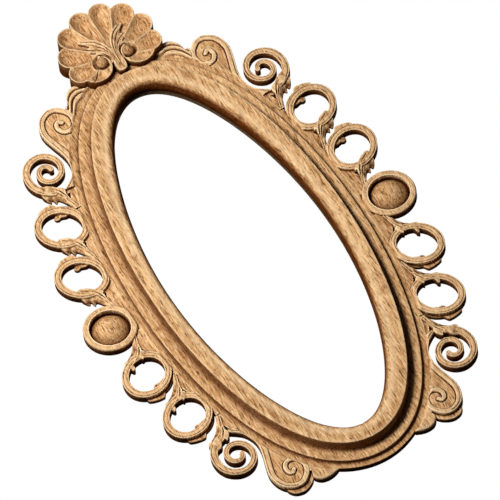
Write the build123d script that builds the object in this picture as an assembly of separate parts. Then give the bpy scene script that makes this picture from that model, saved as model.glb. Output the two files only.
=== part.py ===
from build123d import *
import os
from math import atan2, cos, degrees, exp, pi, radians, sin, sqrt

os.makedirs("parts", exist_ok=True)

# The frame is drawn on a board: x to the right, y up the frame's height, and z
# out of its back face towards the viewer. It is stood up as it is exported, so
# that the front faces -Y, +Z is up and the origin is the centre of the oval, on
# the plane of the wooden back face.

# Moulding
sight_half_width = 114.2
sight_half_height = 301.8
moulding_width = 49.5
crown_height = 27.5
crown_rise = 1.2
sight_wall_height = 20.0
sight_roll_width = 6.0
inner_band_width = 23.8
inner_band_drop = 14.0
cove_width = 7.0
cove_depth = 3.0
cove_share = 1 / 3
middle_band_width = 17.2
middle_band_height = 13.5
outer_band_height = 8.6
outer_round_radius = 2.0

# Rebate, glazing and the slip that holds it
rebate_width = 7.0
rebate_depth = 12.0
pane_thickness = 3.0
pane_edge_clearance = 1.0
pane_face_clearance = 0.1
slip_edge_clearance = 0.3

# Loose tongues in the two joints of the moulding
spline_length = 36.0
spline_width = 22.0
spline_thickness = 4.0
spline_clearance = 0.1
spline_height = 5.0
spline_offset = 28.0

# Ornaments along the sides
ornament_height = 12.0
ornament_step = 2.4
step_inset = 1.8
band_samples_per_point = 2
web_height = 6.5
seat_reach = 14.0
leaf_height = 11.0

cabochon_radius = 34.4
cabochon_reach = 34.7
cabochon_rim_width = 8.0
cabochon_floor = 5.0
cabochon_seat_height = 36.0
dome_radius = 23.6
dome_rise = 10.5

ring_radius = 33.0
ring_band_width = 8.6
ring_stretch_share = 1.03
ring_reaches = (31.7, 29.9)
ring_angles = (15.1, 30.0)
curl_height = 6.0
curl_out = 4.0
curl_angles = (62, 102)
nub_radius = 3.4
nub_angles = (104, 122)

volute_radius = 31.5
volute_decay = 0.1228
volute_reach = 31.5
volute_angle = 47.1
volute_start = -78
volute_end = 522
volute_steps = 20
volute_band_start = 10.4
volute_band_end = 6.4
volute_husk_shift = (6.0, -2.0)

scroll_fill_share = 0.4312
scroll_reach = 15.5
scroll_angle = 63.4
scroll_drawn_lean = 37.1
scroll_web_height = 8.6
scroll_web_inset = 2.6
scroll_band_start = 9.6
scroll_band_end = 4.6
scroll_foot_height = 7.6

foot_lobe_radius = 17.5
foot_lobe_height = 10.6
foot_lobe_angle = 72.2

crest_leaf_size = 22.0
crest_leaf_reach = 2.6
crest_leaf_angle = 73.3

# Crest
shell_radius = 82.5
shell_rise = 6.7
shell_height = 24.0
flute_radius = 14.0
flute_lift = 8.0
flute_start = 3.0
pearl_radius = 7.7
pearl_across = 18.5
pearl_lift = 20.0
pearl_clearance = 0.1
husk_bottom = 8.0
husk_height = 27.5
crest_husk_length = 66.0

# Dowels that carry the ornaments
dowel_radius = 2.0
dowel_length = 16.0
dowel_level = 3.4
dowel_clearance = 0.05
dowel_end_gap = 0.5
ring_dowel_lag = 4.0
volute_dowel_lag = 8.0
scroll_dowel_lags = (8.0, 1.0)

# Turn buttons
button_angles = (0, 62, 118, 180, 242, 298)
button_inset = 16.5
button_head_radius = 6.0
button_tip_radius = 3.6
button_reach = 9.6
button_thickness = 1.6
button_gap = 0.3
button_screw_radius = 1.75
button_screw_depth = 11.0
button_screw_head_radius = 3.4
button_screw_head_height = 1.8

# Strap hangers
hanger_angle = 28.6
hanger_inset = 29.0
strap_width = 13.0
strap_length = 34.0
strap_thickness = 1.4
barrel_radius = 2.9
wire_radius = 1.3
wire_clearance = 0.08
hanger_ring_half_width = 11.0
hanger_ring_drop = 8.0
hanger_screw_radius = 1.6
hanger_screw_depth = 12.0
hanger_screw_head_radius = 3.0
hanger_screw_head_height = 0.9
hanger_screw_spacing = 14.0

screw_clearance = 0.05
overrun = 1.0
cutter_height = 60.0
cutter_reach = 30.0

# Solids that stand on the plane they are placed on, or hang from it
standing = (Align.CENTER, Align.CENTER, Align.MIN)
hanging = (Align.CENTER, Align.CENTER, Align.MAX)

# Outlines, as shares of the size that each one follows
husk_shares = (
    (-0.66, -1.96), (-0.46, -1.62), (-0.24, -1.38), (0.18, -1.14), (0.06, -1.02),
    (0.52, -0.86), (0.58, -0.62), (0.38, -0.49), (0.20, -0.70), (-0.04, -0.62),
    (-0.26, -0.76), (-0.62, -0.72), (-0.84, -0.94), (-0.74, -1.44),
)
web_shares = (
    (-1.5, -1.96), (-0.52, -1.96), (-0.36, -1.0), (-0.9, -0.2), (-0.9, 0.42), (-1.5, 0.42),
)
volute_web_shares = ((-1.7, -1.96), (-0.52, -1.96), (-0.30, -1.05), (-1.7, -1.20))
scroll_band_shares = (
    (1.59, -3.22), (1.22, -2.98), (0.92, -2.71), (0.73, -2.34), (0.66, -1.93),
    (0.71, -1.49), (0.85, -0.95), (0.97, -0.47), (1.00, -0.14), (0.93, 0.24),
    (0.75, 0.58), (0.47, 0.80), (0.17, 0.90), (-0.14, 0.85), (-0.37, 0.68),
    (-0.58, 0.42), (-0.68, 0.10), (-0.64, -0.24), (-0.45, -0.53), (-0.14, -0.64),
    (0.16, -0.54), (0.33, -0.24), (0.27, 0.08), (0.05, 0.20), (-0.12, 0.06),
)
scroll_rim_count = 17
scroll_inner_shares = ((-0.70, -0.30), (-1.25, -0.75), (0.24, -3.70), (1.25, -3.52))
scroll_foot_shares = (
    (-0.66, 0.42), (-0.54, 0.80), (-0.22, 1.05), (0.10, 1.14), (0.44, 1.04), (0.64, 0.78), (0.68, 0.42),
)
foot_lobe_shares = (
    (-1.14, 0.69), (-0.97, -0.54), (-0.69, -0.83), (-0.06, -1.0),
    (0.57, -0.89), (0.97, -0.46), (1.09, 0.11), (0.97, 0.8), (0.8, 1.6),
)
crest_leaf_shares = (
    (-0.95, 0.18), (-0.68, 0.45), (-0.36, 0.68), (0.05, 0.68), (0.36, 0.50), (0.64, 0.09), (0.77, -0.14),
    (1.0, -0.2), (0.95, -0.55), (0.84, -0.91), (0.82, -1.36), (0.45, -1.6), (-0.68, -0.91),
)
crest_leaf_rim_count = 11
shell_lobe_shares = (
    ((0.0, 0.890), (0.206, 0.994), (0.345, 0.806)),
    ((0.345, 0.806), (0.576, 0.782), (0.612, 0.528)),
    ((0.612, 0.528), (0.776, 0.412), (0.697, 0.145)),
    ((0.697, 0.145), (0.782, -0.024), (0.582, -0.206)),
    ((0.582, -0.206), (0.339, -0.321), (0.103, -0.097)),
)
flute_mid_shares = ((0.206, 0.994), (0.576, 0.782), (0.776, 0.412), (0.782, -0.024))
crest_husk_shares = (
    (0.0, -0.38), (0.09, -0.33), (0.11, -0.15), (0.07, 0.04), (0.16, 0.24),
    (0.38, 0.41), (0.24, 0.42), (0.30, 0.55), (0.14, 0.47), (0.0, 0.57),
)


# Places on the moulding
def edge_point(angle, inset):
    """Point of the oval, that far out from the sight edge, and the normal there."""
    c = cos(radians(angle))
    s = sin(radians(angle))
    across = sight_half_height * c
    along = sight_half_width * s
    size = sqrt(across**2 + along**2)
    nx = across / size
    ny = along / size
    return (sight_half_width * c + inset * nx, sight_half_height * s + inset * ny), (nx, ny)


def outside(angle, reach):
    """Point that far outside the moulding's outer edge."""
    return edge_point(angle, moulding_width + reach)[0]


def sized(shares, size, centre=(0, 0)):
    """Outline points from shares of one size, about a centre."""
    return [(centre[0] + size * x, centre[1] + size * y) for x, y in shares]


# Shapes that repeat
def prism(points, height):
    """Upright solid over a closed outline with straight flanks between its points."""
    return extrude(make_face(Polyline(*points, close=True)), amount=height)


def mirrored(shape):
    """The same piece on the other side of the frame."""
    return mirror(shape, about=Plane.YZ)


def flipped(shape):
    """The same piece at the other end of the frame."""
    return mirror(shape, about=Plane.XZ)


def inside_line(points, gap_start, gap_end):
    """Points beside a smooth edge, on its left, at a gap that changes evenly along it."""
    edge = Spline(*points)
    count = band_samples_per_point * len(points)
    line = []
    for i in range(count + 1):
        share = i / count
        way = edge.tangent_at(share)
        gap = gap_start + (gap_end - gap_start) * share
        line.append(edge.position_at(share) + Vector(-way.Y, way.X) * gap)
    return line


def band_face(points, width_start, width_end, inset=0.0):
    """Face of a band that follows an outer edge and narrows towards its end."""
    outer = inside_line(points, inset, inset)
    inner = inside_line(points, width_start - inset, width_end - inset)
    sides = [Spline(*outer), Line(outer[-1], inner[-1]), Spline(*inner[::-1]), Line(inner[0], outer[0])]
    return make_face(sides)


def stepped_band(points, width_start, width_end):
    """Carved band: a full-width body with a narrower crown on it."""
    body = extrude(band_face(points, width_start, width_end), amount=ornament_height - ornament_step)
    crown = extrude(band_face(points, width_start, width_end, step_inset), amount=ornament_height)
    return body + crown


def moulding_sweep(profile_edges):
    """Right half of the oval, swept from the bottom joint to the top joint."""
    path = EllipticalCenterArc((0, 0), sight_half_width, sight_half_height, -90, arc_size=180)
    start = Plane(origin=(0, -sight_half_height, 0), x_dir=(0, -1, 0), z_dir=(-1, 0, 0))
    return sweep(start * make_face(profile_edges), path=path)


def moulding_profile():
    """Section of the moulding: x is the way out from the sight edge, y the height."""
    roll_top = crown_height - crown_rise
    band_two = inner_band_width + middle_band_width
    drop_foot = crown_height - inner_band_drop
    cove_end = inner_band_width + cove_width
    back = Line((moulding_width, 0), (rebate_width, 0))
    rebate = Polyline((rebate_width, 0), (rebate_width, rebate_depth), (0, rebate_depth))
    wall = Line((0, rebate_depth), (0, sight_wall_height))
    roll_middle = (
        sight_roll_width * (1 - cos(pi / 4)),
        sight_wall_height + (roll_top - sight_wall_height) * sin(pi / 4),
    )
    roll = ThreePointArc((0, sight_wall_height), roll_middle, (sight_roll_width, roll_top))
    crown = Line((sight_roll_width, roll_top), (inner_band_width, crown_height))
    drop = Line((inner_band_width, crown_height), (inner_band_width, drop_foot))
    cove_middle = (inner_band_width + cove_width * cove_share, drop_foot - cove_depth)
    cove_top = drop_foot - cove_depth * cove_share
    cove = ThreePointArc((inner_band_width, drop_foot), cove_middle, (cove_end, cove_top))
    middle = Polyline((cove_end, cove_top), (band_two, middle_band_height), (band_two, outer_band_height))
    edge_start = moulding_width - outer_round_radius
    edge_top = outer_band_height - outer_round_radius
    outer = Line((band_two, outer_band_height), (edge_start, outer_band_height))
    round_offset = outer_round_radius * sin(pi / 4)
    round_spot = (edge_start + round_offset, edge_top + round_offset)
    rounded = ThreePointArc((edge_start, outer_band_height), round_spot, (moulding_width, edge_top))
    side = Line((moulding_width, edge_top), (moulding_width, 0))
    return [back, rebate, wall, roll, crown, drop, cove, middle, outer, rounded, side]


def envelope():
    """Right half of the space that the moulding takes, at any height."""
    corners = Polyline(
        (-cutter_reach, -overrun),
        (moulding_width, -overrun),
        (moulding_width, cutter_height),
        (-cutter_reach, cutter_height),
        close=True,
    )
    return moulding_sweep(corners)


# Joints of the moulding
def spline_box(clearance):
    """One loose tongue across the top joint."""
    centre = sight_half_height + spline_offset
    sizes = [size + 2 * clearance for size in (spline_length, spline_width, spline_thickness)]
    return Pos(0, centre, spline_height) * Box(*sizes)


def dowel(spot, way, radius, length):
    """Round dowel, centred on the outer edge of the moulding, along its normal."""
    axis = Plane(origin=(spot[0], spot[1], dowel_level), z_dir=(way[0], way[1], 0))
    return axis * Cylinder(radius, length)


def dowel_at(angle, clearance=0.0):
    """Dowel, or its bore, at one place of the right half."""
    spot, way = edge_point(angle, moulding_width)
    gap = dowel_end_gap if clearance else 0
    return dowel(spot, way, dowel_radius + clearance, dowel_length + gap)


# Ornaments of the right half
def cabochon_rim():
    """Raised rim round a flat floor, with the web that seats it on the moulding."""
    x, y = outside(0, cabochon_reach)
    body = Cylinder(cabochon_radius, ornament_height, align=standing)
    outer_edge = body.edges().group_by(Axis.Z)[-1]
    body = fillet(outer_edge, ornament_step)
    recess = Pos(0, 0, cabochon_floor) * Cylinder(
        cabochon_radius - cabochon_rim_width, ornament_height, align=standing
    )
    web = Pos(-cabochon_radius, 0, 0) * Box(
        2 * seat_reach, cabochon_seat_height, web_height, align=standing
    )
    return Pos(x, y, 0) * (body + web - recess)


def cabochon_dome():
    """Domed boss on the floor of the rim."""
    x, y = outside(0, cabochon_reach)
    ball = (dome_radius**2 + dome_rise**2) / (2 * dome_rise)
    foot = (0, cabochon_floor)
    top = (0, cabochon_floor + dome_rise)
    side = (dome_radius, cabochon_floor)
    lean = atan2(dome_radius, ball - dome_rise) / 2
    middle = (ball * sin(lean), cabochon_floor + dome_rise - ball * (1 - cos(lean)))
    section = make_face([Line(foot, side), ThreePointArc(side, middle, top), Line(top, foot)])
    return Pos(x, y, 0) * revolve(Plane.XZ * section, Axis.Z)


def ring_hole():
    """Space inside a ring's band."""
    tall = ring_radius * ring_stretch_share
    return extrude(Ellipse(ring_radius - ring_band_width, tall - ring_band_width), amount=ornament_height)


def ring_band():
    """Open ring with a rounded band, its outer curl and the nub inside it."""
    outer = extrude(Ellipse(ring_radius, ring_radius * ring_stretch_share), amount=ornament_height)
    hole = ring_hole()
    band = outer - hole
    band = fillet(band.edges().group_by(Axis.Z)[-1], ornament_step)
    start, end = [radians(angle) for angle in curl_angles]
    far = ring_radius + curl_out
    first, bulge, last = [(far * cos(a), far * sin(a)) for a in (start, (start + end) / 2, end)]
    sector = [Line((0, 0), first), ThreePointArc(first, bulge, last), Line(last, (0, 0))]
    curl = extrude(make_face(sector), amount=curl_height)
    nubs = Part()
    for angle in nub_angles:
        reach = ring_radius - ring_band_width
        spot = Pos(reach * cos(radians(angle)), reach * sin(radians(angle)), 0)
        nubs += spot * Cylinder(nub_radius, leaf_height, align=standing)
    return band + (curl - hole - outer) + nubs


def husk(shares, shift=(0.0, 0.0)):
    """Leaf husk below a ring or volute, and the low web that ties it to the moulding."""
    leaf = prism(sized(husk_shares, ring_radius, shift), leaf_height)
    web = prism(sized(shares, ring_radius, shift), web_height)
    return leaf, web


def ring_piece(index):
    """One open ring with its husk."""
    x, y = outside(ring_angles[index], ring_reaches[index])
    leaf, web = husk(web_shares)
    return Pos(x, y, 0) * (ring_band() + leaf + (web - ring_hole()))


def volute_points():
    """Outer edge of the open spiral, at even steps of its turn."""
    points = []
    for i in range(volute_steps + 1):
        angle = radians(volute_start + (volute_end - volute_start) * i / volute_steps)
        reach = volute_radius * exp(-volute_decay * angle)
        points.append((reach * cos(angle), reach * ring_stretch_share * sin(angle)))
    return points


def volute_piece():
    """Open spiral with its husk."""
    x, y = outside(volute_angle, volute_reach)
    leaf, web = husk(volute_web_shares, volute_husk_shift)
    return Pos(x, y, 0) * (stepped_band(volute_points(), volute_band_start, volute_band_end) + leaf + web)


def scroll_radius():
    """Size of the closed scroll, which fills its stretch of the edge up to the volute."""
    start_x, start_y = outside(scroll_angle, 0)
    end_x, end_y = outside(volute_angle, 0)
    return scroll_fill_share * sqrt((start_x - end_x) ** 2 + (start_y - end_y) ** 2)


def scroll_place():
    """Place of the scroll's drawing, which leans as the edge leans there."""
    x, y = outside(scroll_angle, scroll_reach)
    way = edge_point(scroll_angle, 0)[1]
    return Pos(x, y, 0) * Rot(0, 0, degrees(atan2(way[1], way[0])) - scroll_drawn_lean)


def scroll_piece():
    """Closed scroll: a flat web with a raised band that winds into its middle."""
    size = scroll_radius()
    band_points = sized(scroll_band_shares, size)
    rim = inside_line(band_points[:scroll_rim_count], scroll_web_inset, scroll_web_inset)
    inner = sized(scroll_inner_shares, size)
    outline = [Spline(*rim), Polyline(rim[-1], *inner, rim[0])]
    plate = extrude(make_face(outline), amount=scroll_web_height)
    band = stepped_band(band_points, scroll_band_start, scroll_band_end)
    return scroll_place() * (plate + band)


def scroll_foot():
    """Lower step that shows beyond the end of the bottom scroll."""
    points = sized(scroll_foot_shares, scroll_radius())
    outline = [Spline(*points), Line(points[-1], points[0])]
    return scroll_place() * extrude(make_face(outline), amount=scroll_foot_height)


def foot_lobe():
    """Rounded lobe beside the bottom scroll, drawn at the bottom of the frame."""
    x, y = outside(-foot_lobe_angle, 0)
    points = sized(foot_lobe_shares, foot_lobe_radius, (x, y))
    outline = [Spline(*points), Line(points[-1], points[0])]
    return extrude(make_face(outline), amount=foot_lobe_height)


def crest_leaf():
    """Side leaf between the shell and the top scroll."""
    centre = outside(crest_leaf_angle, crest_leaf_reach)
    points = sized(crest_leaf_shares, crest_leaf_size, centre)
    rim = points[:crest_leaf_rim_count]
    outline = [Spline(*rim), Polyline(rim[-1], *points[crest_leaf_rim_count:], rim[0])]
    return extrude(make_face(outline), amount=ornament_height)


# Crest
def hub():
    """Point that the shell's flutes fan out from."""
    return (0, sight_half_height + moulding_width + shell_rise)


def shell_blank():
    """Lobed body of the shell with its eight concave flutes."""
    centre = hub()
    right = [ThreePointArc(*sized(lobe, shell_radius, centre)) for lobe in shell_lobe_shares]
    left = [mirror(edge, about=Plane.YZ) for edge in right]
    foot = sized([shell_lobe_shares[-1][-1]], shell_radius, centre)[0]
    outline = right + left + [Line(foot, (-foot[0], foot[1]))]
    body = extrude(make_face(outline), amount=shell_height)
    for x, y in flute_mid_shares:
        for side in (1, -1):
            way = (side * x, y, 0)
            axis = Plane(origin=(centre[0], centre[1], shell_height + flute_lift), z_dir=way)
            flute = Cone(flute_start, flute_radius, shell_radius, align=standing)
            tip = Cylinder(flute_radius, shell_radius, align=standing)
            body -= axis * (flute + Pos(0, 0, shell_radius) * tip)
    return body


def pearls(clearance=0.0):
    """Two round beads on the shell."""
    y = hub()[1]
    both = [Pos(side * pearl_across, y, pearl_lift) * Sphere(pearl_radius + clearance) for side in (1, -1)]
    return both


def crest_husk():
    """Central leaf of the crest, let into the shell."""
    centre = hub()
    right = sized(crest_husk_shares, crest_husk_length, centre)
    left = [(-x, y) for x, y in right[-2:0:-1]]
    return prism(right + left, husk_height)


# Glazing
def oval_face(out):
    """Oval face whose half axes are that much longer than the sight edge's."""
    return Ellipse(sight_half_width + out, sight_half_height + out)


def glazing_pane():
    """Clear pane against the front of the rebate."""
    bottom = rebate_depth - pane_face_clearance - pane_thickness
    return Pos(0, 0, bottom) * extrude(oval_face(rebate_width - pane_edge_clearance), amount=pane_thickness)


def retaining_slip():
    """Oval slip behind the pane, flush with the back face."""
    depth = rebate_depth - 2 * pane_face_clearance - pane_thickness
    outer = extrude(oval_face(rebate_width - slip_edge_clearance), amount=depth)
    return outer - extrude(oval_face(0), amount=depth)


# Turn buttons
def button_place(angle):
    spot, way = edge_point(angle, button_inset)
    return Pos(spot[0], spot[1], 0) * Rot(0, 0, degrees(atan2(way[1], way[0])) + 180)


def turn_button(angle):
    """Flat teardrop that turns about its screw and overlaps the slip."""
    head = Circle(button_head_radius)
    tip = Pos(button_reach, 0) * Circle(button_tip_radius)
    outline = make_hull((head + tip).edges())
    hole = Circle(button_screw_radius + screw_clearance)
    plate = extrude(outline - hole, amount=-button_thickness)
    return button_place(angle) * Pos(0, 0, -button_gap) * plate


def screw(radius, depth, head_radius, head_height, stand_off):
    """Screw that points towards the front, its head that far behind the back face."""
    head = Pos(0, 0, -stand_off) * Cylinder(head_radius, head_height, align=hanging)
    shank = Pos(0, 0, -stand_off) * Cylinder(radius, depth + stand_off, align=standing)
    return head + shank


def pilot(radius, depth):
    """Bore that a screw fills."""
    return Cylinder(radius + screw_clearance, depth + screw_clearance, align=standing)


def button_screw(angle):
    stand_off = 2 * button_gap + button_thickness
    body = screw(
        button_screw_radius,
        button_screw_depth,
        button_screw_head_radius,
        button_screw_head_height,
        stand_off,
    )
    return button_place(angle) * body


# Strap hangers
def barrel_level():
    """Height of the hanger ring's bar, behind the back face."""
    return -(strap_thickness + hanger_screw_head_height + 2 * wire_clearance + 2 * wire_radius)


def hanger_place():
    spot = edge_point(hanger_angle, hanger_inset)[0]
    return Pos(spot[0], spot[1], 0)


def hanger_screw_spots():
    return [-(barrel_radius + hanger_screw_head_radius + hanger_screw_spacing * i) for i in range(2)]


def hanger_plate():
    """Screwed strap whose top end is a barrel for the ring."""
    level = barrel_level()
    strap = Pos(0, 0, -strap_thickness) * Box(
        strap_width, strap_length, strap_thickness, align=(Align.CENTER, Align.MAX, Align.MIN)
    )
    neck = Pos(0, 0, level) * Box(
        strap_width, barrel_radius, -level, align=(Align.CENTER, Align.MAX, Align.MIN)
    )
    barrel = Pos(0, 0, level) * Rot(0, 90, 0) * Cylinder(barrel_radius, strap_width)
    bore = Pos(0, 0, level) * Rot(0, 90, 0) * Cylinder(wire_radius + wire_clearance, strap_width)
    plate = strap + neck + barrel - bore
    for y in hanger_screw_spots():
        plate -= Pos(0, y, -strap_thickness - overrun) * Cylinder(
            hanger_screw_radius + screw_clearance,
            strap_thickness + 2 * overrun,
            align=standing,
        )
    return hanger_place() * plate


def hanger_ring():
    """Wire ring that hangs down from its straight bar."""
    level = barrel_level()
    half = hanger_ring_half_width
    corner = wire_radius * 2
    side = half - corner * (1 - sin(pi / 4))
    drop = -corner * (1 - cos(pi / 4))
    path = [
        Line((0, 0, level), (half - corner, 0, level)),
        ThreePointArc((half - corner, 0, level), (side, drop, level), (half, -corner, level)),
        Line((half, -corner, level), (half, -hanger_ring_drop, level)),
        ThreePointArc(
            (half, -hanger_ring_drop, level),
            (0, -hanger_ring_drop - half, level),
            (-half, -hanger_ring_drop, level),
        ),
        Line((-half, -hanger_ring_drop, level), (-half, -corner, level)),
        ThreePointArc((-half, -corner, level), (-side, drop, level), (-half + corner, 0, level)),
        Line((-half + corner, 0, level), (0, 0, level)),
    ]
    section = Plane(origin=(0, 0, level), z_dir=(1, 0, 0)) * Circle(wire_radius)
    wire = Wire([line.edge() for line in path])
    return hanger_place() * sweep(section, path=wire)


def hanger_screw(y):
    body = screw(
        hanger_screw_radius,
        hanger_screw_depth,
        hanger_screw_head_radius,
        hanger_screw_head_height,
        strap_thickness,
    )
    return hanger_place() * Pos(0, y, 0) * body


# Building and writing the nodes
pieces = {}


def keep(name, solids):
    """Store a node, as one or more separate solids."""
    pieces[name] = solids if isinstance(solids, list) else [solids]


def keep_pair(name, solid):
    """Store a piece of the right half and its mirror image."""
    keep(name + "_right", solid)
    keep(name + "_left", mirrored(solid))


def build():
    block = envelope()
    half = moulding_sweep(moulding_profile())

    shell = shell_blank() - half - mirrored(half)
    leaf_centre = crest_husk() - half - mirrored(half)
    leaf_centre = leaf_centre - Pos(0, hub()[1], 0) * Box(
        shell_radius, crest_husk_length / 2, 2 * husk_bottom, align=(Align.CENTER, Align.MIN, Align.CENTER)
    )
    shell = shell - leaf_centre
    for pocket in pearls(pearl_clearance):
        shell = shell - pocket
    keep("crest_shell", shell)
    keep("crest_husk", leaf_centre)
    keep("crest_pearls", [bead - leaf_centre for bead in pearls()])

    leaf = crest_leaf() - block - shell
    rim = cabochon_rim() - block
    ring_low = ring_piece(0) - block - rim
    ring_high = ring_piece(1) - block - ring_low
    volute = volute_piece() - block - ring_high
    scroll = scroll_piece() - block - volute - ring_high - leaf
    lobe = flipped(foot_lobe()) - block - scroll
    foot_scroll = scroll + (scroll_foot() - block - scroll - lobe)

    places = {
        "cabochon": (0,),
        "leaf": (crest_leaf_angle,),
        "ring_low": (ring_angles[0] - ring_dowel_lag,),
        "ring_high": (ring_angles[1] - ring_dowel_lag,),
        "volute": (volute_angle - volute_dowel_lag,),
        "scroll": [scroll_angle - lag for lag in scroll_dowel_lags],
        "lobe": (foot_lobe_angle,),
    }
    dowels = []

    def bored(solid, key, flip=False):
        """Take this piece's dowel bores out of it and note its dowels."""
        for angle in places[key]:
            bore = dowel_at(angle, dowel_clearance)
            pin = dowel_at(angle)
            solid = solid - bore
            dowels.append((angle if not flip else -angle, flipped(pin) if flip else pin))
        return flipped(solid) if flip else solid

    keep_pair("crest_leaf", bored(leaf, "leaf"))
    keep_pair("cabochon_rim", bored(rim, "cabochon"))
    keep_pair("cabochon_dome", cabochon_dome())
    keep_pair("upper_scroll", bored(scroll, "scroll"))
    keep_pair("upper_volute", bored(volute, "volute"))
    keep_pair("ring_1", bored(ring_high, "ring_high"))
    keep_pair("ring_2", bored(ring_low, "ring_low"))
    keep_pair("ring_3", bored(ring_low, "ring_low", True))
    keep_pair("ring_4", bored(ring_high, "ring_high", True))
    keep_pair("lower_volute", bored(volute, "volute", True))
    keep_pair("lower_scroll", bored(foot_scroll, "scroll", True))
    keep_pair("foot_lobe", bored(lobe, "lobe", True))

    for angle, pin in dowels:
        spot, way = edge_point(angle, moulding_width)
        half = half - dowel(spot, way, dowel_radius + dowel_clearance, dowel_length + dowel_end_gap)
    keep("ornament_dowels", [pin for _, pin in dowels] + [mirrored(pin) for _, pin in dowels])

    half = half - spline_box(spline_clearance) - flipped(spline_box(spline_clearance))
    for angle in button_angles:
        half = half - button_place(angle) * pilot(button_screw_radius, button_screw_depth)
    for y in hanger_screw_spots():
        half = half - hanger_place() * Pos(0, y, 0) * pilot(hanger_screw_radius, hanger_screw_depth)
    keep_pair("moulding", half)
    keep("joint_splines", [spline_box(0), flipped(spline_box(0))])

    keep("glazing_pane", glazing_pane())
    keep("retaining_slip", retaining_slip())
    for number, angle in enumerate(button_angles, 1):
        keep(f"turn_button_{number}", turn_button(angle))
    keep("turn_button_screws", [button_screw(angle) for angle in button_angles])

    keep_pair("hanger_plate", hanger_plate())
    keep_pair("hanger_ring", hanger_ring())
    screws = [hanger_screw(y) for y in hanger_screw_spots()]
    keep("hanger_screws", screws + [mirrored(body) for body in screws])


def write():
    """Stand every node up and write it."""
    stand = Plane.XZ.location
    for name, solids in pieces.items():
        stood = []
        for solid in solids:
            stood += list((stand * solid).solids())
        shape = stood[0] if len(stood) == 1 else Compound(children=stood)
        shape.label = name
        export_step(shape, f"parts/{name}.step")


build()
write()
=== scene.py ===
import bmesh
import bpy
import math
import numpy as np
from mathutils import Matrix, Vector


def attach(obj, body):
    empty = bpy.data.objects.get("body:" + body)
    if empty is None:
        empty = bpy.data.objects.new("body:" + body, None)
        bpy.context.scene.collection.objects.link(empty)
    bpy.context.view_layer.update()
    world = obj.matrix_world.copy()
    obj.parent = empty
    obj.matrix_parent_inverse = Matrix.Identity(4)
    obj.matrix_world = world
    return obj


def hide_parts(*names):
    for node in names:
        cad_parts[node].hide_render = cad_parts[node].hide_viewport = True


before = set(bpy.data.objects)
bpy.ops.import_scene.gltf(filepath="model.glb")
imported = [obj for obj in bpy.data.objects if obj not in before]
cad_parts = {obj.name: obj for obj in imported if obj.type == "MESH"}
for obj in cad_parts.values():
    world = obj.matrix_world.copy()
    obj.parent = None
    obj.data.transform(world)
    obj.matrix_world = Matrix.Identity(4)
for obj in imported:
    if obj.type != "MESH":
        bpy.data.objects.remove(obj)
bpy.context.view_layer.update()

# The frame is drawn on a board, in millimetres: u to the right, v up, h out of the
# wooden back face towards the viewer. In the row frame that is (u, -h, v).
SIGHT = (114.2, 301.8)  # half width and half height of the sight oval
MOULDING = 49.5  # width of the moulding, from the sight edge outwards
WALL_FRONT = 15.5  # height of the sight wall, where the roll starts
ROLL = 9.0
CROWN = 27.5
CROWN_RISE = 1.2
INNER_BAND = 23.8
MIDDLE_BAND = 17.2
REBATE = (7.0, 12.0)  # width and depth
ORNAMENT = 12.0  # height of the ornaments' bands
OUTER_LEVEL = 8.5  # height of the moulding's outer band
GRID = 0.6
POINTS_AT_ONCE = 6000


# Numbers and lines
def smooth(low, high, x):
    t = np.clip((x - low) / (high - low), 0, 1)
    return t * t * (3 - 2 * t)


def arris(inside, radius):
    """Drop of a rounded edge: the radius at the edge, nothing that far inside."""
    t = np.clip(inside / radius, 0, 1)
    return radius * (1 - np.sqrt(np.clip(1 - (1 - t) ** 2, 0, 1)))


def groove(distance, half, depth):
    return depth * np.clip(1 - (distance / half) ** 2, 0, 1)


def ridge(distance, half, rise):
    return rise * np.exp(-((distance / half) ** 2))


def waver(points, size, seed):
    """Slow unevenness of hand work, between about -1 and 1."""
    rng = np.random.default_rng(seed)
    total = np.zeros(len(points))
    waves = 7
    for _ in range(waves):
        way = rng.uniform(0, 2 * math.pi)
        wave = 2 * math.pi / (size * rng.uniform(0.6, 1.7))
        phase = rng.uniform(0, 2 * math.pi)
        total += np.sin((points[:, 0] * math.cos(way) + points[:, 1] * math.sin(way)) * wave + phase)
    return total / math.sqrt(waves) / 1.4


def curve(points, closed=False, per=8):
    """Smooth line through points."""
    p = np.array(points, float)
    if closed:
        ring = np.vstack([p[-1], p, p[0], p[1]])
    else:
        ring = np.vstack([2 * p[0] - p[1], p, 2 * p[-1] - p[-2]])
    out = []
    for i in range(1, len(ring) - 2):
        a, b, c, d = ring[i - 1 : i + 3]
        square = 2 * a - 5 * b + 4 * c - d
        cube = 3 * b - a - 3 * c + d
        for k in range(per):
            t = k / per
            out.append(0.5 * (2 * b + (c - a) * t + square * t * t + cube * t * t * t))
    out.append(ring[-2])
    return np.array(out)


def nearest(points, line):
    """Distance to a line, the same signed (left of it positive) and the share along it."""
    start = line[:-1]
    step = line[1:] - start
    size2 = np.maximum((step**2).sum(1), 1e-12)
    size = np.sqrt(size2)
    before = np.concatenate([[0], np.cumsum(size)])
    distance = np.empty(len(points))
    signed = np.empty(len(points))
    share = np.empty(len(points))
    for i in range(0, len(points), POINTS_AT_ONCE):
        here = slice(i, i + POINTS_AT_ONCE)
        rel = points[here][:, None] - start[None]
        t = np.clip((rel * step).sum(2) / size2, 0, 1)
        off = rel - t[..., None] * step
        square = (off**2).sum(2)
        k = square.argmin(1)
        row = np.arange(len(k))
        o = off[row, k]
        cross = step[k, 0] * o[:, 1] - step[k, 1] * o[:, 0]
        d = np.sqrt(square[row, k])
        distance[here] = d
        signed[here] = np.where(cross >= 0, d, -d)
        share[here] = (before[k] + t[row, k] * size[k]) / before[-1]
    return distance, signed, share


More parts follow.
